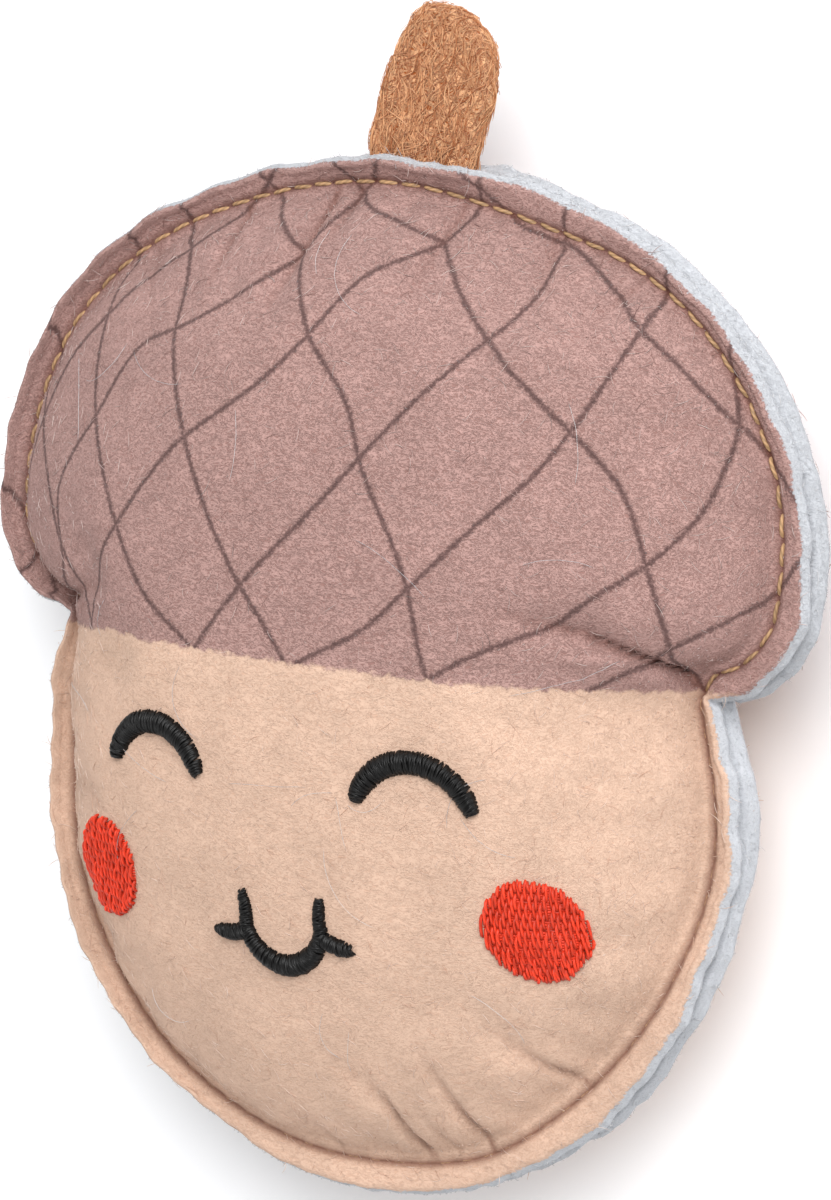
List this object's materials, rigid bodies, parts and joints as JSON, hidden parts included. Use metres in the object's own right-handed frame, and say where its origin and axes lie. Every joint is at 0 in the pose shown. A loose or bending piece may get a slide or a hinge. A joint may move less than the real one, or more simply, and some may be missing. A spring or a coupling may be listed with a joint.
{
  "type": "stuffed felt acorn toy",
  "caption": "Flat stuffed felt acorn with a lattice-printed cap, a smiling embroidered face, raw stitched edges and a brown felt stem; lies on its back.",
  "frame": {"origin": "under the middle of the toy's bounding box, on the surface that the toy lies on", "axes": "+Z out of the face and up, +X to the viewer's right across the face, +Y up the face towards the stem"},
  "size_m": [0.0974, 0.1194, 0.0375],
  "materials": {
    "printed_felt": "white polyester felt, printed mauve brown on the cap and beige on the nut",
    "fibre_filling": "loose polyester fibre",
    "stem_felt": "coarse brown needle felt",
    "sewing_thread": "golden tan spun polyester sewing thread",
    "black_thread": "black embroidery thread in satin stitch",
    "red_thread": "shiny orange red embroidery thread in filling stitch"
  },
  "bodies": {
    "root": {"front_panel": "printed_felt", "back_panel": "printed_felt", "filling": "fibre_filling", "stem": "stem_felt", "needle_thread": "sewing_thread", "bobbin_thread": "sewing_thread", "left_eye": "black_thread", "right_eye": "black_thread", "mouth": "black_thread", "left_cheek": "red_thread", "right_cheek": "red_thread"}
  },
  "joints": []
}
